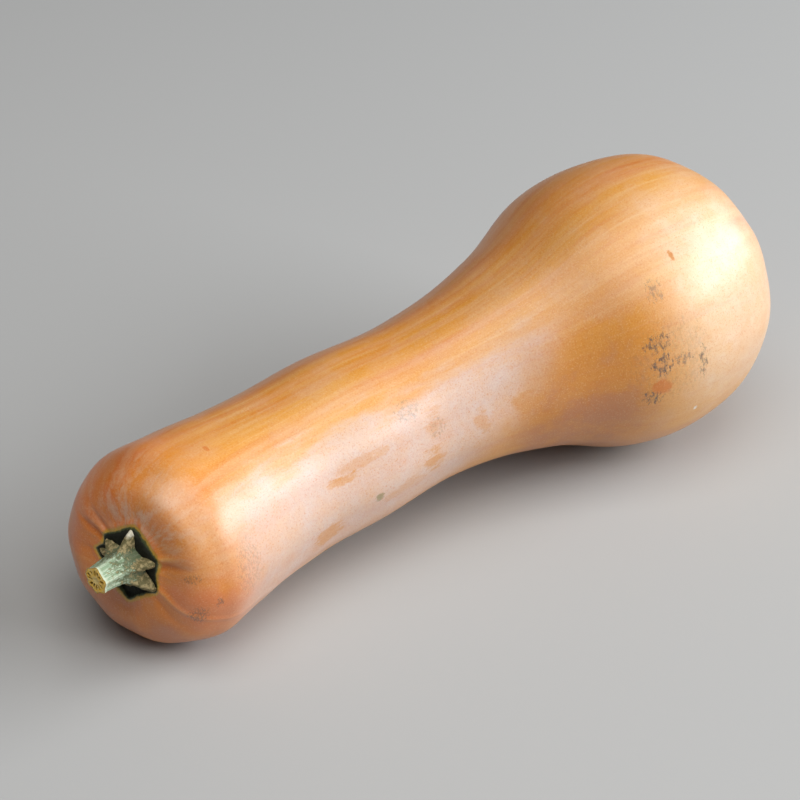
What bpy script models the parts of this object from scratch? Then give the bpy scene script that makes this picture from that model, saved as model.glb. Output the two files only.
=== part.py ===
# A long-necked winter squash lying on its side: the fruit and its cut stem.
# Metres, +Z up. +X runs from the stem end to the blossom end. The origin is under the
# middle of the whole part, at the height of the surface that it lies on.

import math

import bmesh
import bpy
from mathutils import Vector

# Driving dimensions, in metres
FRUIT_LENGTH = 0.330
STEM_LENGTH = 0.0205         # from the scar's floor to the cut face
CUT_RADIUS = 0.0050
GAP = 0.0003                 # between the fruit and the stem

# The fruit's radius over the half-width of an ellipse as long as the fruit, as a share of
# its length, at equal turns from the stem end to the blossom end: lobe, neck, bulb
SWELL = (0.159, 0.285, 0.244, 0.173, 0.130, 0.117, 0.109, 0.139, 0.213, 0.268, 0.317, 0.332, 0.350)

# Bezier points of the centre line, as shares of the length. The neck bows to +Y.
SPINE = ((0, 0, 0.1275), (0.333, 0.1108, 0.0978), (0.667, -0.0349, 0.2093), (1, 0, 0.1880))

# The stem end: a dish, and in its flat bottom a star-shaped scar, which the stem stands in.
# Both lie round one point, off the centre line. A corner of the scar is its direction in
# degrees and its reach. Directions turn from +Y towards +Z, and count from SCAR_START,
# halfway between the last corner and the first.
SCAR_CENTRE = (-0.0028, 0.0068)
DISH_DEPTH = 0.0046
DISH_BOTTOM = 0.012          # radius where the dish starts to rise
DISH_RIM = 0.030             # radius where it meets the shoulder
SCAR_START = -20
SCAR_CORNERS = ((17, 0.0170), (44, 0.0148), (112, 0.0147), (184, 0.0133),
                (235, 0.0160), (290, 0.0178), (338, 0.0152))
SCAR_PINCH = 0.14            # how far the outline draws in between two corners
SCAR_DEPTH = 0.0022
SCAR_EDGE = 0.0016           # width of its sloping edge

# The stem: ridges that run out towards the scar's corners, and a slight lean
RIDGE_REACH = 0.78           # as a share of the corner's reach
RIDGE_WIDTH = 14             # degrees to each side
RIDGE_RISE = 0.0115          # height over which a ridge runs up into the stalk
STALK_SPREAD = 0.0022        # how much wider the stalk is at its foot than at the cut
LEAN = (0.0007, 0.0012)      # of the cut face, to +Y and +Z

# The blossom end: a shallow dimple
BLOSSOM_DEPTH = 0.0016
BLOSSOM_RADIUS = 0.007

# Share of the turn within which each end has its dish or dimple
END_SHARE = 0.2

# Mesh density. The fruit's rings lie in zones: the turn from the stem end where each zone
# ends, as a share of the whole, and the rings in it. The scar's edge has the closest ones.
AROUND = 64
RING_ZONES = ((0.035, 3), (0.075, 9), (0.14, 4), (1.0, 30))
STEM_AROUND = 56
STEM_RINGS = 11
STEM_CROWDING = 1.4          # above 1, the stem's rings lie closer together at its foot


def smooth_step(low, high, value):
    share = min(max((value - low) / (high - low), 0), 1)
    return share * share * (3 - 2 * share)


def smooth_curve(points, sharp=()):
    """Gives a function through (place, value) points, smooth but at the sharp ones."""
    group = bpy.data.node_groups.new("curve", "ShaderNodeTree")
    mapping = group.nodes.new("ShaderNodeFloatCurve").mapping
    curve = mapping.curves[0]
    curve.points[0].location = points[0]
    curve.points[1].location = points[-1]
    for place, value in points[1:-1]:
        curve.points.new(place, value)
    for number in sharp:
        curve.points[number].handle_type = "VECTOR"
    mapping.update()
    return lambda place: mapping.evaluate(curve, place)


def scar_outline():
    """Gives the scar's reach, for a direction as a share of a full turn."""
    first, last = SCAR_CORNERS[0], SCAR_CORNERS[-1]
    drawn_in = 1 - SCAR_PINCH
    closing = (first[1] + last[1]) / 2 * drawn_in
    points = [(0, closing)]
    for corner, following in zip(SCAR_CORNERS, SCAR_CORNERS[1:]):
        points.append(corner)
        middle = (corner[0] + following[0]) / 2
        points.append((middle, (corner[1] + following[1]) / 2 * drawn_in))
    points += [last, (360, closing)]
    sharp = range(1, len(points), 2)
    return smooth_curve([(angle / 360, reach) for angle, reach in points], sharp)


swell_at = smooth_curve([(number / (len(SWELL) - 1), value) for number, value in enumerate(SWELL)])
scar_reach = scar_outline()


def spine_at(share):
    """Gives the centre line's point, and the directions along it, across it and up from it."""
    start, out, back, end = (Vector(point) * FRUIT_LENGTH for point in SPINE)
    rest = 1 - share
    point = start * rest**3 + 3 * out * share * rest**2 + 3 * back * share**2 * rest + end * share**3
    along = (out - start) * rest**2 + 2 * (back - out) * share * rest + (end - back) * share**2
    along.normalize()
    up = along.cross(Vector((0, 1, 0))).normalized()
    return point, along, up.cross(along), up


def scar_frame():
    """Gives the middle of the scar's floor, and the directions into the fruit, across and up."""
    point, along, across, up = spine_at(0)
    middle = point + across * SCAR_CENTRE[0] + up * SCAR_CENTRE[1]
    return middle + along * (DISH_DEPTH + SCAR_DEPTH), along, across, up


def fruit_point(share, around):
    """Gives a skin point, share of the way round from the stem end to the blossom end."""
    turn = math.pi * share
    radius = math.sin(turn) * swell_at(share) * FRUIT_LENGTH
    centre, along, across, up = spine_at((1 - math.cos(turn)) / 2)
    point = centre + (across * math.cos(around) + up * math.sin(around)) * radius
    if share > 1 - END_SHARE:
        return point - along * BLOSSOM_DEPTH * math.exp(-((radius / BLOSSOM_RADIUS) ** 2))
    if share > END_SHARE:
        return point

    # The dish, and then the drop inside the scar's outline to one flat floor
    floor, inwards, across, up = scar_frame()
    off = point - floor
    side, height = off.dot(across), off.dot(up)
    distance = math.hypot(side, height)
    point += inwards * DISH_DEPTH * (1 - smooth_step(DISH_BOTTOM, DISH_RIM, distance))
    direction = (math.degrees(math.atan2(height, side)) - SCAR_START) % 360
    reach = scar_reach(direction / 360)
    inside = 1 - smooth_step(reach - SCAR_EDGE, reach, distance)
    return point - inwards * (point - floor).dot(inwards) * inside


def ring_share(ring):
    """Gives the share of the way from the stem end at which a ring of the mesh lies."""
    start = 0
    for end, rings in RING_ZONES:
        if ring <= rings:
            return start + (end - start) * ring / rings
        ring -= rings
        start = end
    return 1


def build_fruit():
    rings = sum(count for _, count in RING_ZONES)
    shape = bmesh.new()
    bmesh.ops.create_uvsphere(shape, u_segments=AROUND, v_segments=rings, radius=1)
    for vertex in shape.verts:
        x, y, z = vertex.co
        ring = round(math.atan2(math.hypot(x, y), z) / math.pi * rings)
        point = fruit_point(ring_share(ring), math.atan2(y, x))
        # The lobe and the bulb are pressed flat where they lie
        vertex.co = (point.x, point.y, max(point.z, 0))
    return shape


def stem_point(share, around):
    """Gives a point on the stem's side, share of the way from its foot to the cut face."""
    floor, inwards, across, up = scar_frame()
    height = GAP + (STEM_LENGTH - GAP) * share
    stalk = CUT_RADIUS + STALK_SPREAD * (1 - share) ** 2
    radius = stalk
    climb = (1 - smooth_step(0, RIDGE_RISE, height)) ** 1.5
    for direction, reach in SCAR_CORNERS:
        apart = (math.degrees(around) - SCAR_START - direction + 180) % 360 - 180
        ridge = math.exp(-((apart / RIDGE_WIDTH) ** 2))
        radius += (reach * RIDGE_REACH - stalk) * ridge * climb
    side = radius * math.cos(around) + LEAN[0] * share
    rise = radius * math.sin(around) + LEAN[1] * share
    return floor - inwards * height + across * side + up * rise


def build_stem():
    shape = bmesh.new()
    bmesh.ops.create_circle(shape, cap_ends=True, segments=STEM_AROUND, radius=1)
    edges = list(shape.edges)
    for _ in range(STEM_RINGS):
        grown = bmesh.ops.extrude_edge_only(shape, edges=edges)["geom"]
        verts = [item for item in grown if isinstance(item, bmesh.types.BMVert)]
        edges = [item for item in grown if isinstance(item, bmesh.types.BMEdge)]
        bmesh.ops.translate(shape, verts=verts, vec=(0, 0, 1))
    bmesh.ops.edgeloop_fill(shape, edges=edges)
    for vertex in shape.verts:
        share = (vertex.co.z / STEM_RINGS) ** STEM_CROWDING
        vertex.co = stem_point(share, math.atan2(vertex.co.y, vertex.co.x))
    return shape


def add_piece(name, shape, colour, roughness):
    if shape.calc_volume(signed=True) < 0:
        bmesh.ops.reverse_faces(shape, faces=shape.faces)
    mesh = bpy.data.meshes.new(name)
    shape.to_mesh(mesh)
    shape.free()
    mesh.shade_smooth()
    mesh.set_sharp_from_angle(angle=math.radians(50))
    material = bpy.data.materials.new(name)
    material.use_nodes = True
    shader = material.node_tree.nodes["Principled BSDF"]
    shader.inputs["Base Color"].default_value = (*colour, 1)
    shader.inputs["Roughness"].default_value = roughness
    mesh.materials.append(material)
    piece = bpy.data.objects.new(name, mesh)
    bpy.context.collection.objects.link(piece)
    return piece


def centre_on_origin(pieces):
    """Moves the pieces so that the origin is under the middle of their box."""
    corners = [vertex.co for piece in pieces for vertex in piece.data.vertices]
    low = Vector([min(corner[axis] for corner in corners) for axis in range(3)])
    high = Vector([max(corner[axis] for corner in corners) for axis in range(3)])
    shift = Vector((-(low.x + high.x) / 2, -(low.y + high.y) / 2, -low.z))
    for piece in pieces:
        for vertex in piece.data.vertices:
            vertex.co += shift


for old in list(bpy.data.objects):
    bpy.data.objects.remove(old)

fruit = add_piece("fruit", build_fruit(), colour=(0.72, 0.38, 0.17), roughness=0.42)
stem = add_piece("stem", build_stem(), colour=(0.42, 0.46, 0.30), roughness=0.8)
centre_on_origin([fruit, stem])
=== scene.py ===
# The looks of a long-necked winter squash that lies on its side: its rind with the star-shaped
# scar, and its cut, ridged stem. Metres, +Z up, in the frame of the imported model.
import math
from types import SimpleNamespace

import bpy
from mathutils import Matrix, Vector


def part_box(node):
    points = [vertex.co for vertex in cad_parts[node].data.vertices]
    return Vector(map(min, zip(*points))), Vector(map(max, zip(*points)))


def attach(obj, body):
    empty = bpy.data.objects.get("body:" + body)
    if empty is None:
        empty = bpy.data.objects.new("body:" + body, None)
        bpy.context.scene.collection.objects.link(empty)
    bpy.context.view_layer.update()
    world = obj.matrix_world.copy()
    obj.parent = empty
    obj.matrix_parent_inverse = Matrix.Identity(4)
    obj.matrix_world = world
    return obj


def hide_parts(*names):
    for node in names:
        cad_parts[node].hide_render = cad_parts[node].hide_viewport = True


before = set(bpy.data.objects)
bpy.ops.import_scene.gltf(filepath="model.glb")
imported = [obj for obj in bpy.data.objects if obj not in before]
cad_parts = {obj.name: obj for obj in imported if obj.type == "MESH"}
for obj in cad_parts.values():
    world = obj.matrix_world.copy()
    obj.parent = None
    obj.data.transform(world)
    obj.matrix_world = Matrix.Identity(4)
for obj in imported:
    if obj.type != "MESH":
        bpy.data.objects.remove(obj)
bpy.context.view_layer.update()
print("frame loaded:", ", ".join(sorted(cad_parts)))


class Signal:
    # One socket of a node tree. Sums written with signals add their nodes to the tree.
    def __init__(self, tree, socket=None):
        self.tree = tree
        self.socket = socket

    def node(self, kind, settings=None, sockets=None, output=0):
        # Any node: its settings first, then the values or links of its sockets
        made = self.tree.nodes.new(kind)
        for name, value in (settings or {}).items():
            if name == "curve":
                setCurve(made.mapping, *value)
            else:
                setattr(made, name, value)
        for key, value in (sockets or {}).items():
            if isinstance(value, Signal):
                self.tree.links.new(value.socket, made.inputs[key])
            else:
                made.inputs[key].default_value = value
        return Signal(self.tree, made.outputs[output]) if made.outputs else None

    def of(self, name):
        # Another output of the same node
        return Signal(self.tree, self.socket.node.outputs[name])

    def sum(self, operation, *values, output=0):
        if not any(isVector(value) for value in values):
            return self.node("ShaderNodeMath", {"operation": operation}, dict(enumerate(values)))
        wide = [(value,) * 3 if isinstance(value, (int, float)) else value for value in values]
        return self.node("ShaderNodeVectorMath", {"operation": operation}, dict(enumerate(wide)), output)

    def __add__(self, other):
        return self.sum("ADD", self, other)

    def __sub__(self, other):
        return self.sum("SUBTRACT", self, other)

    def __rsub__(self, other):
        return self.sum("SUBTRACT", other, self)

    def __mul__(self, other):
        return self.sum("MULTIPLY", self, other)

    def __truediv__(self, other):
        return self.sum("DIVIDE", self, other)

    def __rtruediv__(self, other):
        return self.sum("DIVIDE", other, self)

    def __pow__(self, other):
        return self.sum("POWER", self, other)

    def __neg__(self):
        return self * -1

    __radd__ = __add__
    __rmul__ = __mul__

    def split(self):
        axes = self.node("ShaderNodeSeparateXYZ", {}, {0: self})
        return axes, axes.of("Y"), axes.of("Z")


def isVector(value):
    if isinstance(value, Signal):
        return value.socket.type in ("VECTOR", "RGBA")
    return not isinstance(value, (int, float))


def setCurve(mapping, points, sharp=()):
    curve = mapping.curves[0]
    curve.points[0].location = points[0]
    curve.points[1].location = points[-1]
    for place, value in points[1:-1]:
        curve.points.new(place, value)
    for number in sharp:
        curve.points[number].handle_type = "VECTOR"
    mapping.update()


def join(x, y, z):
    first = next(value for value in (x, y, z) if isinstance(value, Signal))
    return first.node("ShaderNodeCombineXYZ", {}, {0: x, 1: y, 2: z})


def dot(first, second):
    return first.sum("DOT_PRODUCT", first, second, output=1)


def unit(vector):
    return vector.sum("NORMALIZE", vector)


def fade(value, low, high):
    # Goes smoothly from 0 at low to 1 at high, also where high is the smaller
    sockets = {0: value, 1: low, 2: high, 3: 0, 4: 1}
    return value.node("ShaderNodeMapRange", {"interpolation_type": "SMOOTHSTEP"}, sockets)


def hump(value, width):
    # A bell of height 1 round value 0
    drop = -(value / width) ** 2
    return drop.sum("EXPONENT", drop)


def noise(place, scale, detail=2, roughness=0.5):
    sockets = {"Vector": place, "Scale": scale, "Detail": detail, "Roughness": roughness}
    return place.node("ShaderNodeTexNoise", {}, sockets)


def blend(first, second, share):
    colours = [value if isinstance(value, Signal) else (*value, 1) for value in (first, second)]
    sockets = {0: share, 6: colours[0], 7: colours[1]}
    return share.node("ShaderNodeMix", {"data_type": "RGBA"}, sockets, output=2)


def startTree(name, sizes):
    tree = bpy.data.node_groups.new(name, "GeometryNodeTree")
    for label, value in sizes.items():
        kind = "NodeSocketInt" if isinstance(value, int) else "NodeSocketFloat"
        tree.interface.new_socket(label, in_out="INPUT", socket_type=kind).default_value = value
    tree.interface.new_socket("Mesh", in_out="OUTPUT", socket_type="NodeSocketGeometry")
    return Signal(tree).node("NodeGroupInput")


def store(mesh, name, value, kind="FLOAT_VECTOR", domain="POINT"):
    settings = {"data_type": kind, "domain": domain}
    sockets = {"Geometry": mesh, "Name": name, "Value": value}
    return mesh.node("GeometryNodeStoreNamedAttribute", settings, sockets)


def stored(mesh, name):
    return mesh.node("GeometryNodeInputNamedAttribute", {"data_type": "FLOAT_VECTOR"}, {"Name": name})


def move(mesh, place=None, offset=None):
    sockets = {"Geometry": mesh}
    if place:
        sockets["Position"] = place
    if offset:
        sockets["Offset"] = offset
    return mesh.node("GeometryNodeSetPosition", {}, sockets)


def closeTree(mesh, material):
    mesh = mesh.node("GeometryNodeSetShadeSmooth", {}, {"Geometry": mesh})
    mesh = mesh.node("GeometryNodeRealizeInstances", {}, {"Geometry": mesh})
    mesh = mesh.node("GeometryNodeSetMaterial", {}, {"Geometry": mesh, "Material": material})
    mesh.node("NodeGroupOutput", {}, {0: mesh})


def growPiece(name, tree, sizes):
    # Runs the tree on an empty mesh and keeps its result as the piece's own plain mesh
    piece = bpy.data.objects.new(name, bpy.data.meshes.new(name))
    bpy.context.scene.collection.objects.link(piece)
    modifier = piece.modifiers.new("grow", "NODES")
    modifier.node_group = tree
    for item in tree.interface.items_tree:
        if item.in_out == "INPUT":
            modifier[item.identifier] = sizes[item.name]
    depsgraph = bpy.context.evaluated_depsgraph_get()
    grown = bpy.data.meshes.new_from_object(piece.evaluated_get(depsgraph), depsgraph=depsgraph)
    piece.modifiers.clear()
    piece.data = grown
    grown.name = name
    print("grown:", name, len(grown.polygons), "faces")
    return piece


fruitSizes = {
    "Length": 0.330,
    "Segments": 384,
    "Rings": 256,
    "Ring crowding": 1.5,        # above 1, the rings lie closer together at the stem end
    "Wave height": 0.00025,      # broad unevenness of the rind
    "Wave size": 0.028,
    "Rib height": 0.00022,
    "Ribs": 10,
    "Wrinkle height": 0.00022,   # fine folds round the scar
    "Lip height": 0.0005,        # the rind's swollen edge round the scar
    "Pucker height": 0.0011,
    "Cork height": 0.0012,       # roughness of the scar's floor
    "Seed": 4.0,
}

fruitShape = {
    # radius over an ellipse's half-width, at equal turns from the stem end to the blossom end
    "swell": (0.159, 0.285, 0.244, 0.173, 0.130, 0.117, 0.109, 0.139, 0.213, 0.268, 0.317, 0.332, 0.350),
    # Bezier points of the centre line, as shares of the length
    "spine": ((0, 0, 0.1275), (0.333, 0.1108, 0.0978), (0.667, -0.0349, 0.2093), (1, 0, 0.1880)),
    "scarCentre": (-0.0028, 0.0068),
    "dishDepth": 0.0046,
    "dishBottom": 0.012,
    "dishRim": 0.030,
    "scarStart": -20,
    # direction in degrees from the start, turning from +Y towards +Z, and reach
    "scarCorners": ((17, 0.0170), (44, 0.0148), (112, 0.0147), (184, 0.0133), (235, 0.0160),
                    (290, 0.0178), (338, 0.0152)),
    "scarPinch": 0.14,
    "scarDepth": 0.0022,
    "scarEdge": 0.0016,
    "lipMiddle": 0.0014,         # of the swollen edge, out from the scar's outline
    "lipWidth": 0.0015,
    "ribStart": 0.02,            # the ribs have their full height this far from the scar
    "ribEnd": 0.9,               # and fade from this share to the blossom end
    "wrinkleReach": 0.016,
    "wrinkleSize": 6,            # more makes finer wrinkles
    "corkSize": 700,
    "corkStart": -0.0015,
    "blossomDepth": 0.0016,
    "blossomRadius": 0.007,
    "endShare": 0.2,             # share within which each end has its dish or dimple
    # folds that run out from the scar: direction from the start, height as a share, half-width
    # in metres, and how far they reach beyond the scar's middle
    "puckers": ((40, -1.0, 0.0014, 0.036), (56, -0.9, 0.0012, 0.032), (48, 0.6, 0.0014, 0.034),
                (14, -0.6, 0.0025, 0.034), (112, -0.5, 0.0020, 0.030), (188, -1.0, 0.0016, 0.034),
                (229, 0.5, 0.0013, 0.060), (178, 0.7, 0.0016, 0.034), (242, -0.5, 0.0020, 0.045),
                (290, -0.9, 0.0030, 0.034), (338, -0.8, 0.0030, 0.036)),
    "puckerStart": 0.35,         # share of its reach where a fold starts to fade
}


def spineAt(share, length):
    # The centre line's point there, and the directions along, across and up
    start, out, back, end = (Vector(point) for point in fruitShape["spine"])
    rest = 1 - share
    point = rest**3 * start + share * rest**2 * 3 * out + share**2 * rest * 3 * back + share**3 * end
    along = unit(rest**2 * (out - start) + share * rest * 2 * (back - out) + share**2 * (end - back))
    up = unit(along.sum("CROSS_PRODUCT", along, (0, 1, 0)))
    return point * length, along, up.sum("CROSS_PRODUCT", up, along), up


def scarFrame(length):
    # The middle of the scar's floor, and the directions into the fruit, across and up
    start, out = (Vector(point) for point in fruitShape["spine"][:2])
    inwards = (out - start).normalized()
    up = inwards.cross(Vector((0, 1, 0))).normalized()
    across = up.cross(inwards)
    side, rise = fruitShape["scarCentre"]
    depth = fruitShape["dishDepth"] + fruitShape["scarDepth"]
    return length * start + (across * side + up * rise + inwards * depth), inwards, across, up


def scarOutline():
    # Curve points of the scar's reach, over its direction as a share of a full turn
    corners = fruitShape["scarCorners"]
    drawnIn = 1 - fruitShape["scarPinch"]
    closing = (corners[0][1] + corners[-1][1]) / 2 * drawnIn
    points = [(0, closing)]
    for corner, following in zip(corners, corners[1:]):
        points.append(corner)
        points.append(((corner[0] + following[0]) / 2, (corner[1] + following[1]) / 2 * drawnIn))
    points += [corners[-1], (360, closing)]
    return [(angle / 360, reach) for angle, reach in points], range(1, len(points), 2)


def scarDirection(side, rise):
    # Degrees from the scar's start, from 0 to 360
    degrees = rise.sum("ARCTAN2", rise, side) * math.degrees(1) - fruitShape["scarStart"]
    return degrees.sum("FLOORED_MODULO", degrees, 360)


def shapeFruit(share, around, length):
    # The skin's point, and how far it lies outside the scar's outline
    turn = share * math.pi
    last = len(fruitShape["swell"]) - 1
    points = [(number / last, value) for number, value in enumerate(fruitShape["swell"])]
    swell = share.node("ShaderNodeFloatCurve", {"curve": (points,)}, {1: share})
    radius = turn.sum("SINE", turn) * swell * length
    centre, along, across, up = spineAt((1 - turn.sum("COSINE", turn)) / 2, length)
    cosine, sine = around.sum("COSINE", around), around.sum("SINE", around)
    point = centre + (across * cosine + up * sine) * radius
    nearBlossom = share.sum("GREATER_THAN", share, 1 - fruitShape["endShare"])
    dimple = hump(radius, fruitShape["blossomRadius"]) * nearBlossom * fruitShape["blossomDepth"]
    point = point - along * dimple

    # The dish, and then the drop inside the scar's outline to one flat floor
    floor, inwards, scarAcross, scarUp = scarFrame(length)
    off = point - floor
    side, rise = dot(off, scarAcross), dot(off, scarUp)
    distance = (side * side + rise * rise) ** 0.5
    nearScar = share.sum("LESS_THAN", share, fruitShape["endShare"])
    dish = fade(distance, fruitShape["dishRim"], fruitShape["dishBottom"]) * nearScar
    point = point + dish * fruitShape["dishDepth"] * inwards
    outline = scarOutline()
    turned = scarDirection(side, rise) / 360
    reach = share.node("ShaderNodeFloatCurve", {"curve": outline}, {1: turned})
    inside = fade(distance, reach, reach - fruitShape["scarEdge"]) * nearScar
    point = point - dot(point - floor, inwards) * inside * inwards
    beyond = (distance - reach) * nearScar + (1 - nearScar) * length
    return point, join(side, rise, beyond)


def puckersAt(out, direction, beyond):
    # The folds that run out from the scar, each along its own direction
    puckers = 0
    for turned, height, width, reach in fruitShape["puckers"]:
        apart = (direction - turned) * math.radians(1)
        ahead = apart.sum("COSINE", apart).sum("GREATER_THAN", apart.sum("COSINE", apart), 0)
        level = hump(out * apart.sum("SINE", apart), width) * ahead
        level = level * fade(out, reach, reach * fruitShape["puckerStart"]) * fade(beyond, -0.0005, 0.001)
        puckers = puckers + level * height
    return puckers


def unevenness(given, mesh):
    # How far the skin is pushed out, and the folds' share of it
    seeded = given.node("GeometryNodeInputPosition") + join(given.of("Seed"), 0, 0)
    cosine, sine, share = stored(mesh, "grow").split()
    side, rise, beyond = stored(mesh, "scar").split()
    wave = (noise(seeded, 1 / given.of("Wave size"), 2) - 0.5) * given.of("Wave height") * 2
    turn = sine.sum("ARCTAN2", sine, cosine) * given.of("Ribs") + (noise(seeded, 12, 1) - 0.5) * 3
    ribs = turn.sum("COSINE", turn) * given.of("Rib height")
    ribs = ribs * fade(beyond, 0.0, fruitShape["ribStart"]) * fade(share, 1.0, fruitShape["ribEnd"])
    lip = hump(beyond - fruitShape["lipMiddle"], fruitShape["lipWidth"]) * given.of("Lip height")
    out = (side * side + rise * rise) ** 0.5
    folded = noise(join(side / out, rise / out, out * 12), fruitShape["wrinkleSize"], 2) - 0.5
    wrinkles = folded * fade(beyond, fruitShape["wrinkleReach"], 0.0) * fade(beyond, -0.001, 0.0005)
    wrinkles = wrinkles * given.of("Wrinkle height") * 4
    corky = (noise(seeded, fruitShape["corkSize"], 3) - 0.5) * fade(beyond, 0.0, fruitShape["corkStart"])
    puckers = puckersAt(out, scarDirection(side, rise), beyond)
    lift = wave + ribs + lip + wrinkles + corky * given.of("Cork height")
    return lift + puckers * given.of("Pucker height"), puckers


def growFruit(material):
    given = startTree("growFruit", fruitSizes)
    length = given.of("Length")
    sockets = {0: given.of("Segments"), 1: given.of("Rings"), 2: 1}
    ball = given.node("GeometryNodeMeshUVSphere", {}, sockets)
    x, y, z = given.node("GeometryNodeInputPosition").split()
    share = (z.sum("ARCCOSINE", z) / math.pi) ** given.of("Ring crowding")
    around = y.sum("ARCTAN2", y, x)
    mesh = store(ball, "OFBake", ball.of("UV Map"), "FLOAT2", "CORNER")
    mesh = store(mesh, "grow", join(around.sum("COSINE", around), around.sum("SINE", around), share))
    point, scar = shapeFruit(share, around, length)
    mesh = store(mesh, "point", point)
    mesh = store(mesh, "scar", scar)
    mesh = move(mesh, place=stored(mesh, "point"))

    # The sphere's normals point inwards here, so the lift is turned round and the faces flipped
    lift, puckers = unevenness(given, mesh)
    mesh = store(mesh, "fold", join(puckers, 0, 0))
    mesh = move(mesh, offset=given.node("GeometryNodeInputNormal") * lift * -1)
    x, y, z = given.node("GeometryNodeInputPosition").split()
    mesh = move(mesh, place=join(x, y, z.sum("MAXIMUM", z, 0)))     # nothing below the floor
    mesh = mesh.node("GeometryNodeFlipFaces", {}, {"Mesh": mesh})
    closeTree(mesh, material)
    return growPiece("squashFruit", given.tree, fruitSizes)


stemSizes = {
    "Length": 0.0205,            # from the scar's floor to the cut face
    "Gap": 0.0003,               # under the stem's foot
    "Cut radius": 0.0053,
    "Spread": 0.0019,            # how much wider the stalk is at its foot than at the cut
    "Around": 224,
    "Rings": 110,
    "Cut rings": 28,
    "Holes": 12,
    "Hole depth": 0.0014,
    "Bark height": 0.0006,
    "Fibre height": 0.0003,
    "Rib height": 0.0009,
    "Collar height": 0.00025,    # the swollen edge of the cut
    "Pith depth": 0.0004,
    "Rim drop": 0.0004,          # how far the cut face falls off at its edge
    "Cut roughness": 0.0007,
    "Seed": 2.0,
}

stemShape = {
    "lean": (0.0006, 0.0021),    # of the cut face, to +Y and +Z
    "slant": -0.0012,            # how much farther out the cut face's +Y side is
    # the ridges' feet, one for each corner of the scar: reach as a share of the corner's,
    # half-width in degrees, height up the stalk in metres
    "feet": ((0.86, 8, 0.0065), (0.84, 12, 0.0085), (0.97, 11, 0.0105), (0.93, 14, 0.0110),
             (0.95, 15, 0.0115), (0.66, 13, 0.0075), (0.80, 13, 0.0090)),
    "ribWidth": 17,              # half-width in degrees
    "holeRing": 0.60,            # the holes' place, as a share of the cut face's radius
    "holeWidth": 0.075,          # half-width and half-length of a hole, likewise
    "holeLength": 0.24,
}


def spreadFeet(given, around, share, height):
    # The stalk's radius with its feet spread out to the scar's corners, and the feet and ribs alone
    stalk = given.of("Cut radius") + given.of("Spread") * (1 - share) ** 1.3
    radius = stalk
    ribs = 0
    feet = 0
    for corner, (reachShare, width, rise) in zip(fruitShape["scarCorners"], stemShape["feet"]):
        direction, scarReach = corner
        apart = around * math.degrees(1) - (fruitShape["scarStart"] + direction - 180)
        apart = apart.sum("FLOORED_MODULO", apart, 360) - 180
        foot = hump(apart, width) * fade(height, rise, 0) ** 1.3
        radius = radius + (scarReach * reachShare - stalk) * foot
        feet = feet + foot
        ribs = ribs + hump(apart, stemShape["ribWidth"])
    return radius, feet, ribs


def cutHoles(given, around, inner):
    # A ring of narrow holes, each a little off its place and of its own size
    slot = around * given.of("Holes") / math.tau
    number = slot.sum("FLOOR", slot)
    sockets = {"W": number + given.of("Seed")}
    luck = number.node("ShaderNodeTexWhiteNoise", {"noise_dimensions": "1D"}, sockets)
    off = slot - number - 0.5 + (luck - 0.5) * 0.45
    sideways = off * math.tau / given.of("Holes") * inner / (stemShape["holeWidth"] + luck * 0.05)
    outwards = inner - stemShape["holeRing"] - (luck - 0.5) * 0.16
    outwards = outwards / (stemShape["holeLength"] - luck * 0.1)
    return fade((sideways ** 2 + outwards ** 2) ** 0.5, 1.15, 0.65)


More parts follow.
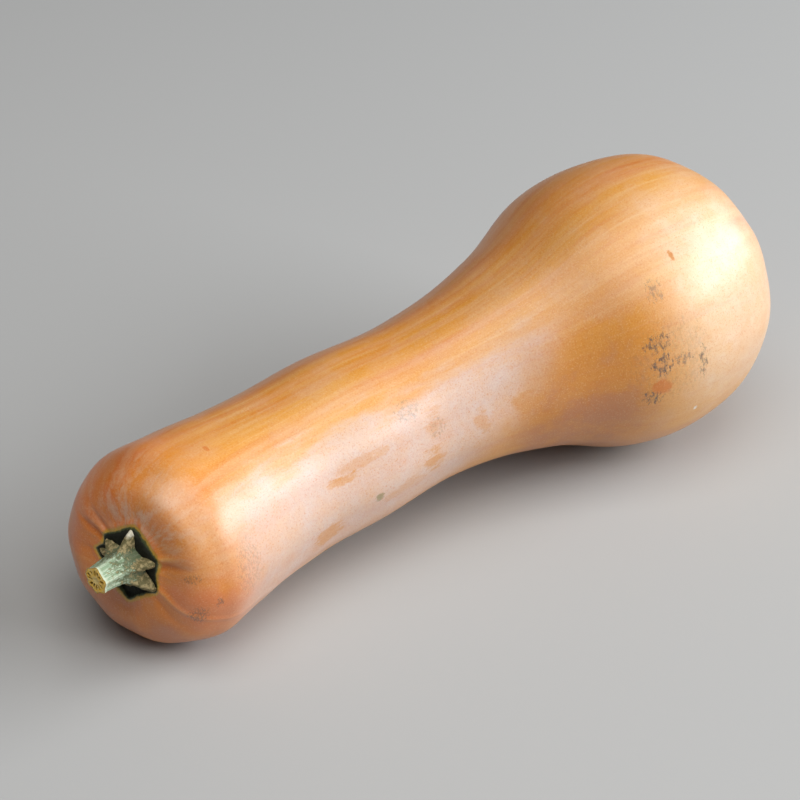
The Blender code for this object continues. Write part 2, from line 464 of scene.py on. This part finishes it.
def growStem(material):
    given = startTree("growStem", stemSizes)
    sockets = {"Vertices": given.of("Around"), "Side Segments": given.of("Rings"),
               "Fill Segments": given.of("Cut rings"), "Radius": 1, "Depth": 1}
    rod = given.node("GeometryNodeMeshCylinder", {"fill_type": "TRIANGLE_FAN"}, sockets)
    x, y, z = given.node("GeometryNodeInputPosition").split()
    share = (z + 0.5) ** 1.4                                # rings lie closer together at the foot
    around = y.sum("ARCTAN2", y, x)
    cosine, sine = around.sum("COSINE", around), around.sum("SINE", around)
    inner = (x * x + y * y) ** 0.5
    onTop = share.sum("GREATER_THAN", share, 0.999)
    seed = join(given.of("Seed"), 0, 0)

    height = given.of("Gap") + (given.of("Length") - given.of("Gap")) * share
    radius, feet, ribs = spreadFeet(given, around, share, height)
    fibres = (noise(join(cosine, sine, share * 0.30) + seed, 9, 3) - 0.5) * given.of("Fibre height") * 2
    collar = hump(share - 1, 0.04) * given.of("Collar height")
    radius = radius + (ribs - 0.6) * given.of("Rib height") + fibres + collar

    # The cut face: slanted and rough, with the holes and a sunken pith, falling off at its edge
    hole = cutHoles(given, around, inner) * onTop
    pith = fade(inner, 0.35, 0.1) * onTop
    rough = (noise(join(cosine * inner, sine * inner, given.of("Seed")), 7, 3) - 0.5) * onTop
    height = height + rough * given.of("Cut roughness") - hole * given.of("Hole depth")
    height = height - pith * given.of("Pith depth") - fade(inner, 0.84, 1.0) * onTop * given.of("Rim drop")
    height = height + (inner * cosine * share ** 6) * stemShape["slant"]

    floor, inwards, across, up = scarFrame(fruitSizes["Length"])
    sidePoint = radius * inner * cosine + stemShape["lean"][0] * share
    risePoint = radius * inner * sine + stemShape["lean"][1] * share
    point = sidePoint * across + risePoint * up - height * inwards + floor
    mesh = store(rod, "OFBake", rod.of("UV Map"), "FLOAT2", "CORNER")
    mesh = store(mesh, "point", point)
    mesh = store(mesh, "grow", join(cosine, sine, share))
    mesh = store(mesh, "cut", join(inner, hole, onTop))
    mesh = store(mesh, "foot", join(feet, ribs, radius))
    mesh = move(mesh, place=stored(mesh, "point"))

    # Rough bark, strongest on the feet
    feet = stored(mesh, "foot").split()[0]
    onTop = stored(mesh, "cut").split()[2]
    bark = (noise(given.node("GeometryNodeInputPosition") + seed, 620, 3, 0.6) - 0.5) * 2
    bark = bark * given.of("Bark height") * (0.2 + fade(feet, 0.0, 0.5) * 0.8) * (1 - onTop)
    mesh = move(mesh, offset=given.node("GeometryNodeInputNormal") * bark)
    closeTree(mesh, material)
    return growPiece("squashStem", given.tree, stemSizes)


def placeOnFrame(fruit, stem):
    # Both pieces are moved as one, until the fruit's box has the middle of its node's box in x and y
    corners = [Vector(corner) for corner in fruit.bound_box]
    low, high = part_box("fruit")
    shift = Vector((0, 0, 0))
    for axis in range(2):
        values = [corner[axis] for corner in corners]
        shift[axis] = (low[axis] + high[axis] - min(values) - max(values)) / 2
    for piece in (fruit, stem):
        piece.data.transform(Matrix.Translation(shift))
    print("placed, moved by", [round(value, 4) for value in shift])


rind = {
    "straw": (0.80, 0.46, 0.14),
    "tan": (0.70, 0.29, 0.035),
    "deep": (0.60, 0.14, 0.006),
    "blush": (0.72, 0.16, 0.005),
    "peach": (0.74, 0.38, 0.18),
    "cream": (0.84, 0.60, 0.34),
    "rubbed": (0.62, 0.26, 0.055),
    # russet for painted shade under the lobe, and at the joint partly the rind's own colour
    "russetShade": (0.46, 0.13, 0.018),
    # bloom, also laid on as painted sheen and highlight along the neck and above the scar
    "bloomAndSheen": (0.66, 0.51, 0.45),
    # pale: partly bloom, partly a painted highlight on the bulb
    "bloomAndHighlight": (0.86, 0.74, 0.60),
    "margin": (0.56, 0.33, 0.03),
    "green": (0.07, 0.09, 0.018),
    # near-black for the scar's hollow: partly its dark tissue, partly painted shade
    "shadedHollow": (0.012, 0.013, 0.006),
    "dirt": (0.085, 0.07, 0.06),
    "olive": (0.22, 0.20, 0.07),
    "nick": (0.55, 0.20, 0.015),
    "chip": (0.85, 0.84, 0.80),
    "cork": (0.26, 0.17, 0.085),
    "roughness": 0.43,
}

# Sizes of the rind's patterns: more is finer
rindPattern = {
    "broad": 4.5,
    "narrow": 15,
    "hair": 42,
    "patches": 17,
    "rays": 7.5,
    "mottle": 55,
    "ragged": 130,
    "skin": 300,
    "margin": 420,
    "pores": 1500,
}

# How much of a colour each layer lays on, at most
rindLayers = {
    "broad": 0.65,
    "patches": 0.35,
    "hair": 0.25,
    "topside": 0.18,
    "folds": 0.55,
    # painted sheen above the scar
    "paintedSheen": 0.30,
    # painted shade past the top
    "paintedShade": 0.4,
    "thinBloom": 0.10,
    "marks": 0.8,
    "cork": 0.9,
    "blossomGreen": 0.7,
    "margin": 0.9,
    "darkPores": 0.40,
    "palePores": 0.22,
}

# Where the layers start and end: shares along the fruit, or degrees from the -Y side, up negative
rindZones = {
    "lobe": (0.34, 0.13),
    "topside": (0.18, 0.26),
    "shoulder": (0.07, 0.15),
    "shoulderTop": (-110, -75),
    "shoulderBottom": (5, -30),
    "joint": (0.52, 0.57),
    "jointEnd": (0.70, 0.61),
    # a painted sheen and highlight along the neck's -Y side, partly real bloom
    "bloomSheenTop": (-62, -34),
    "bloomSheenBottom": (50, 22),
    "bloomSheenStart": (0.15, 0.27),
    "bloomSheenEnd": (0.57, 0.49),
    # a painted highlight on the bulb, partly bloom
    "bloomHighlightStart": (0.645, 0.73),
    "bloomHighlightEnd": (0.95, 0.80),
    "bloomHighlightTop": (-95, -45),
    "bloomHighlightBottom": (30, 5),
    "plainEnd": (0.86, 0.95),
    "cork": (0.970, 0.982),
    "blossomGreen": (0.991, 0.997),
}

# Marks on the rind: share along the fruit, degrees from the -Y side (up negative), half-length
# as a share, half-width in degrees, strength
marks = {
    "dirt": ((0.67, -40, 0.006, 4, 0.6), (0.66, -20, 0.010, 3, 0.8), (0.66, -10, 0.007, 4, 1.0),
             (0.68, -10, 0.010, 2, 0.6), (0.65, 5, 0.007, 3, 1.0), (0.70, -5, 0.004, 6, 0.8),
             (0.67, -10, 0.030, 14, 0.2), (0.45, -40, 0.010, 6, 0.4), (0.47, -20, 0.006, 6, 0.4),
             (0.11, -15, 0.012, 3, 0.6), (0.15, 5, 0.005, 3, 1.0), (0.12, 15, 0.012, 6, 0.8),
             (0.21, -10, 0.020, 14, 0.35)),
    "deep": ((0.66, 0, 0.008, 3, 0.8), (0.25, -80, 0.003, 2, 0.8)),
    "nick": ((0.70, -50, 0.002, 2, 1.2),),
    "rubbed": ((0.51, -10, 0.006, 9, 0.6), (0.46, 0, 0.010, 9, 0.8), (0.47, -25, 0.010, 8, 0.5),
               (0.37, -20, 0.018, 3, 0.8), (0.39, -25, 0.030, 4, 0.5), (0.34, 15, 0.020, 8, 0.8),
               (0.55, -10, 0.012, 7, 0.7), (0.58, -5, 0.014, 7, 0.7), (0.43, 10, 0.020, 5, 0.4)),
    "olive": ((0.40, 5, 0.005, 3, 0.9),),
    "chip": ((0.70, 20, 0.0025, 1.2, 1.0),),
}


def startMaterial(name):
    material = bpy.data.materials.new(name)
    material.use_nodes = True
    material.node_tree.nodes.clear()
    return material, Signal(material.node_tree)


def finishMaterial(start, even, varying):
    # Values that are the same all over the surface, and then those that change over it
    surface = start.node("ShaderNodeBsdfPrincipled", {}, {**even, **varying})
    start.node("ShaderNodeOutputMaterial", {}, {"Surface": surface})


def attribute(start, name):
    return start.node("ShaderNodeAttribute", {"attribute_name": name}, {}, output="Vector")


def marked(kind, share, turned, ragged):
    level = 0
    for at, direction, length, width, strength in marks[kind]:
        far = ((share - at) / length) ** 2 + ((turned - direction) / width) ** 2
        level = level + fade(far + ragged, 1.6, 0.2) * strength
    return level


def zone(value, name):
    return fade(value, *rindZones[name])


def layer(colour, name, share):
    return blend(colour, rind[name], share)


def rindPlaces(start):
    # What the layers are measured by, and the noises that several of them share
    at = SimpleNamespace(place=start.node("ShaderNodeTexCoord", output="Object"))
    at.cosine, at.sine, at.share = attribute(start, "grow").split()
    at.side, at.rise, at.beyond = attribute(start, "scar").split()
    at.fold = attribute(start, "fold").split()[0]
    at.out = (at.side * at.side + at.rise * at.rise) ** 0.5 + 0.0001
    at.turned = at.sine.sum("ARCTAN2", -at.sine, -at.cosine) * math.degrees(1)
    at.nearStem = zone(at.share, "lobe")
    at.mottle = noise(at.place, rindPattern["mottle"], 4, 0.6)
    at.ragged = noise(at.place, rindPattern["ragged"], 4, 0.7) - 0.5
    at.pores = noise(at.place, rindPattern["pores"], 2, 0.6)
    at.rays = noise(join(at.side / at.out, at.rise / at.out, at.out * 20), rindPattern["rays"], 4, 0.7)
    return at


def streaks(at):
    # Lengthwise: broad ones that come and go, narrow pale and deep ones, and a paler top
    wander = (noise(at.place, 14, 2) - 0.5) * 0.22
    cosine, sine = at.cosine, at.sine
    broad = noise(join(cosine + wander, sine + wander, at.share * 0.45), rindPattern["broad"], 3, 0.55)
    bent = join(cosine + wander * 0.5, sine + wander * 0.5, at.share * 0.35)
    narrow = noise(bent, rindPattern["narrow"], 4, 0.65)
    hair = noise(join(cosine, sine, at.share * 0.30), rindPattern["hair"], 2, 0.6)
    patches = fade(noise(at.place, rindPattern["patches"], 3), 0.36, 0.64)
    streaky = fade(noise(at.place + (0.3, 0.1, 0), 16, 2), 0.35, 0.60)
    colour = blend(rind["tan"], rind["deep"], fade(broad, 0.42, 0.66) * rindLayers["broad"])
    colour = layer(colour, "straw", patches * rindLayers["patches"])
    colour = layer(colour, "straw", fade(narrow, 0.50, 0.70) * (0.06 + streaky * 0.32))
    colour = layer(colour, "deep", fade(narrow, 0.46, 0.32) * (0.06 + streaky * 0.26))
    colour = layer(colour, "peach", fade(hair, 0.52, 0.75) * rindLayers["hair"])
    topside = fade(sine, 0.2, 0.9) * fade(narrow + broad, 0.88, 1.15) * zone(at.share, "topside")
    return layer(colour, "cream", topside * rindLayers["topside"])


def lobe(at, colour):
    # Redder, with a paler shoulder, flecks that run out from the scar, and its folds
    shoulder = zone(at.turned, "shoulderTop") * zone(at.turned, "shoulderBottom") * zone(at.share, "shoulder")
    blush = at.nearStem * (0.60 + fade(at.mottle, 0.4, 0.62) * 0.35) * (1 - shoulder * 0.45)
    flecks = at.nearStem * fade(at.rays, 0.42, 0.68) * (fade(at.rise, -0.005, 0.02) * 0.6 + 0.15)
    colour = layer(colour, "blush", blush)
    colour = layer(colour, "straw", shoulder * at.nearStem * fade(at.mottle, 0.35, 0.60) * 0.30)
    colour = layer(colour, "peach", flecks)
    # Deeper in the folds' grooves and paler on their ridges: partly their own colour, partly painted shade in
    # the grooves and painted highlight on the ridges
    colour = layer(colour, "deep", fade(at.fold, -0.10, -0.6) * rindLayers["folds"])
    colour = layer(colour, "straw", fade(at.fold, 0.15, 0.8) * rindLayers["folds"])

    # A painted sheen: a greyish patch of reflected light above the scar, in the bloom colour
    paintedSheen = fade(at.rise, 0.006, 0.020) * fade(at.out, 0.036, 0.018) * fade(at.rays, 0.40, 0.60)
    return layer(colour, "bloomAndSheen", paintedSheen * rindLayers["paintedSheen"])


def paintedShade(at, colour):
    # Painted shade: deeper past the top, and russet painted shade under the lobe; at the joint of neck and
    # bulb the russet is partly the rind's own colour and partly painted shade
    russetShade = fade(at.turned, -70, 15) * zone(at.share, "joint") * zone(at.share, "jointEnd")
    russetShade = russetShade + at.nearStem * fade(at.sine, 0.1, -0.9) * 0.7
    colour = layer(colour, "deep", fade(at.turned, -90, -125) * rindLayers["paintedShade"])
    return layer(colour, "russetShade", russetShade * (0.50 + fade(at.mottle, 0.4, 0.6) * 0.35))


def bloomSheenAndHighlight(at, colour):
    # A greyish bloom along the neck's -Y side, partly real bloom and partly painted sheen and highlight, thin
    # real bloom elsewhere, and a pale patch on the bulb, partly bloom and partly a painted highlight
    edge = (noise(join(at.cosine, at.sine, at.share * 3), 5, 4, 0.6) - 0.5) * 60
    along = zone(at.share, "bloomSheenStart") * zone(at.share + at.turned * 0.0012, "bloomSheenEnd")
    bloomAndSheen = zone(at.turned + edge, "bloomSheenTop") * zone(at.turned, "bloomSheenBottom") * along
    bloomAndSheen = bloomAndSheen * (0.72 + at.ragged * 0.8)
    thin = fade(at.mottle, 0.42, 0.62) * rindLayers["thinBloom"]
    colour = layer(colour, "bloomAndSheen", bloomAndSheen + thin)
    # A pale patch on the bulb's -Y side: partly bloom, partly a painted highlight
    bloomAndHighlight = zone(at.share, "bloomHighlightStart") * zone(at.share, "bloomHighlightEnd") * zone(at.turned + edge, "bloomHighlightTop")
    bloomAndHighlight = bloomAndHighlight * zone(at.turned + edge * 0.5, "bloomHighlightBottom")
    return layer(colour, "bloomAndHighlight", bloomAndHighlight * (0.42 + at.ragged * 0.6)), bloomAndSheen


def dirtAndWear(at, colour):
    # Dirt smeared along the fruit, and then places that are rubbed, nicked or stained
    smeared = noise(join(at.share * 330, at.turned * 0.33, 0), 1, 4, 0.8)
    dirt = marked("dirt", at.share, at.turned, (smeared - 0.5) * 9)
    colour = layer(colour, "dirt", dirt * (0.10 + fade(smeared, 0.55, 0.40) * 0.70))
    worn = (noise(join(at.share * 45, at.turned * 0.16, 0), 1, 4, 0.7) - 0.5) * 7
    for kind in ("rubbed", "deep", "nick", "olive", "chip"):
        colour = layer(colour, kind, marked(kind, at.share, at.turned, worn) * rindLayers["marks"])
    return colour


def blossomEnd(at, colour):
    # The streaks end before the corky blossom scar, which is green in its middle
    plain = zone(at.share, "plainEnd") * (0.5 + fade(at.mottle, 0.4, 0.6) * 0.3)
    colour = layer(colour, "tan", plain)
    colour = layer(colour, "cork", zone(at.share + at.ragged * 0.02, "cork") * rindLayers["cork"])
    green = zone(at.share + at.ragged * 0.01, "blossomGreen")
    return layer(colour, "green", green * rindLayers["blossomGreen"])


def stemScar(at, colour):
    # Its ochre margin, green within, its hollow made nearly black, partly its own dark tissue and partly
    # painted shade, and the pores of the rind round it
    border = at.beyond + (noise(at.place, rindPattern["margin"], 3) - 0.5) * 0.0016
    green = fade(border, 0.0003, -0.0003)
    shadedHollow = fade(border, -0.0001, -0.0010)
    colour = layer(colour, "margin", fade(border, 0.0018, 0.0006) * rindLayers["margin"])
    colour = layer(colour, "green", green)
    colour = layer(colour, "shadedHollow", shadedHollow)
    colour = layer(colour, "deep", fade(at.pores, 0.46, 0.30) * (1 - green) * rindLayers["darkPores"])
    colour = layer(colour, "cream", fade(at.pores, 0.54, 0.70) * (1 - green) * rindLayers["palePores"])
    return colour, shadedHollow


def rindMaterial():
    material, start = startMaterial("rind")
    at = rindPlaces(start)
    colour = paintedShade(at, lobe(at, streaks(at)))
    colour, bloomAndSheen = bloomSheenAndHighlight(at, colour)
    colour = blossomEnd(at, dirtAndWear(at, colour))
    colour, shadedHollow = stemScar(at, colour)

    relief = at.pores * 0.35 + noise(at.place, rindPattern["skin"], 3, 0.55)
    normal = start.node("ShaderNodeBump", {}, {"Strength": 0.22, "Distance": 0.0006, "Height": relief})
    roughness = (at.mottle - 0.5) * 0.15 + bloomAndSheen * 0.12 + shadedHollow * 0.4 + rind["roughness"]
    even = {"Specular IOR Level": 0.4, "Coat Roughness": 0.42}
    varying = {"Base Color": colour, "Roughness": roughness, "Normal": normal,
               "Coat Weight": (1 - shadedHollow) * (0.85 - bloomAndSheen * 0.2)}
    finishMaterial(start, even, varying)
    print("material ready: rind")
    return material


stalk = {
    "mint": (0.25, 0.35, 0.22),
    "pale": (0.58, 0.66, 0.50),
    "moss": (0.075, 0.09, 0.035),
    "olive": (0.15, 0.13, 0.055),
    "tan": (0.40, 0.32, 0.16),
    "tip": (0.75, 0.72, 0.58),
    "cut": (0.86, 0.54, 0.08),
    "cutPale": (0.82, 0.66, 0.30),
    "rim": (0.50, 0.22, 0.03),
    "hole": (0.05, 0.018, 0.006),
    "roughness": 0.75,
}


def corkyFeet(at, colour):
    # Olive with tan grains, and the upper tips nearly white
    corky = fade(at.feet + (at.dirt - 0.5) * 0.9, 0.03, 0.22)
    cork = blend(stalk["olive"], stalk["tan"], fade(at.dirt, 0.44, 0.60))
    tip = fade(at.radius + (at.specks - 0.5) * 0.002, 0.0118, 0.0135)
    cork = blend(cork, stalk["tip"], tip * fade(at.sine, 0.3, 0.9) * 0.85)
    return blend(colour, cork, corky)


def cutFace(at):
    # Ochre, with pale rays between the holes and a browner rim
    face = blend(stalk["cut"], stalk["cutPale"], fade(at.specks, 0.45, 0.70) * 0.35)
    rays = noise(join(at.cosine, at.sine, at.inner * 0.4), 8, 2)
    face = blend(face, stalk["cutPale"], fade(at.inner, 0.50, 0.15) * 0.8)
    face = blend(face, stalk["cutPale"], fade(rays, 0.50, 0.62) * 0.7)
    face = blend(face, stalk["rim"], fade(at.inner, 0.86, 0.98) * 0.6)
    return blend(face, stalk["hole"], at.hole)


def stemMaterial():
    material, start = startMaterial("stalk")
    place = start.node("ShaderNodeTexCoord", output="Object")
    at = SimpleNamespace(specks=noise(place, 1300, 3, 0.6), dirt=noise(place, 620, 4, 0.65))
    at.cosine, at.sine, at.share = attribute(start, "grow").split()
    at.inner, at.hole, at.onTop = attribute(start, "cut").split()
    at.feet, at.ribs, at.radius = attribute(start, "foot").split()
    lines = noise(join(at.cosine, at.sine, at.share * 0.35), 10, 4, 0.65)

    # Mint green with pale ribs, and moss-dark flecks between them towards the foot
    colour = blend(stalk["mint"], stalk["pale"], fade(lines, 0.45, 0.62) * 0.75)
    colour = blend(colour, stalk["pale"], fade(at.ribs, 0.75, 1.1) * fade(at.share, 0.25, 0.6) * 0.35)
    flecked = fade(at.dirt + (0.80 - at.share) * 0.38 - fade(at.ribs, 0.6, 1.1) * 0.06, 0.52, 0.64)
    colour = blend(colour, stalk["moss"], flecked * fade(at.share, 1.0, 0.7) * 0.8)
    colour = corkyFeet(at, colour)
    collar = fade(at.share, 0.90, 0.97) * (1 - at.onTop)
    colour = blend(colour, stalk["pale"], collar * 0.75)
    colour = blend(colour, cutFace(at), at.onTop)

    relief = at.specks * 0.6 + lines * 0.6 + at.dirt
    normal = start.node("ShaderNodeBump", {}, {"Strength": 0.5, "Distance": 0.0005, "Height": relief})
    roughness = (at.specks - 0.5) * 0.2 + stalk["roughness"]
    varying = {"Base Color": colour, "Roughness": roughness, "Normal": normal}
    finishMaterial(start, {"Specular IOR Level": 0.3}, varying)
    print("material ready: stalk")
    return material


fruit = growFruit(rindMaterial())
stem = growStem(stemMaterial())
stem.data.set_sharp_from_angle(angle=math.radians(50))
placeOnFrame(fruit, stem)
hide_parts("fruit")
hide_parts("stem")
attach(fruit, "root")
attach(stem, "root")

studio = {
    "floorSize": 30.0,
    "floorColour": (0.43, 0.43, 0.425),
    "skyColour": (0.90, 0.93, 1.0),
    "skyStrength": 0.07,
    # name, place, width, height, power in watts, colour
    "lamps": (("window", (1.80, -1.45, 1.15), 2.9, 1.25, 96, (0.94, 0.97, 1.0)),
              ("ceiling", (-0.35, -0.55, 2.10), 1.8, 1.8, 35, (1.0, 0.98, 0.95))),
    "lens": 95.13,
    "cameraPlace": (-0.4747, -0.5546, 0.5656),
    "cameraPitch": 55.14,
    "cameraHeading": -39.57,
}


def buildFloor():
    half = studio["floorSize"] / 2
    corners = [(-half, -half, 0), (half, -half, 0), (half, half, 0), (-half, half, 0)]
    mesh = bpy.data.meshes.new("studioFloor")
    mesh.from_pydata(corners, [], [(0, 1, 2, 3)])
    floor = bpy.data.objects.new("studioFloor", mesh)
    bpy.context.scene.collection.objects.link(floor)
    material, start = startMaterial("studioFloor")
    finishMaterial(start, {"Base Color": (*studio["floorColour"], 1), "Roughness": 0.9}, {})
    mesh.materials.append(material)


def buildSky():
    world = bpy.data.worlds.new("softSky")
    world.use_nodes = True
    sky = world.node_tree.nodes["Background"]
    sky.inputs["Color"].default_value = (*studio["skyColour"], 1)
    sky.inputs["Strength"].default_value = studio["skyStrength"]
    bpy.context.scene.world = world


def buildLamps():
    # Each lamp faces the object
    for name, place, width, height, power, colour in studio["lamps"]:
        light = bpy.data.lights.new(name, "AREA")
        light.shape = "RECTANGLE"
        light.size = width
        light.size_y = height
        light.energy = power
        light.color = colour
        lamp = bpy.data.objects.new(name, light)
        lamp.location = place
        lamp.rotation_euler = (-Vector(place)).to_track_quat("-Z", "Y").to_euler()
        bpy.context.scene.collection.objects.link(lamp)


def buildCamera():
    camera = bpy.data.objects.new("camera", bpy.data.cameras.new("camera"))
    camera.data.lens = studio["lens"]
    camera.data.clip_start = 0.01
    camera.location = studio["cameraPlace"]
    turns = (studio["cameraPitch"], 0, studio["cameraHeading"])
    camera.rotation_euler = [math.radians(turn) for turn in turns]
    bpy.context.scene.collection.objects.link(camera)
    bpy.context.scene.camera = camera


buildFloor()
buildSky()
buildLamps()
buildCamera()
bpy.context.scene.view_settings.view_transform = "Standard"
print("stage ready")
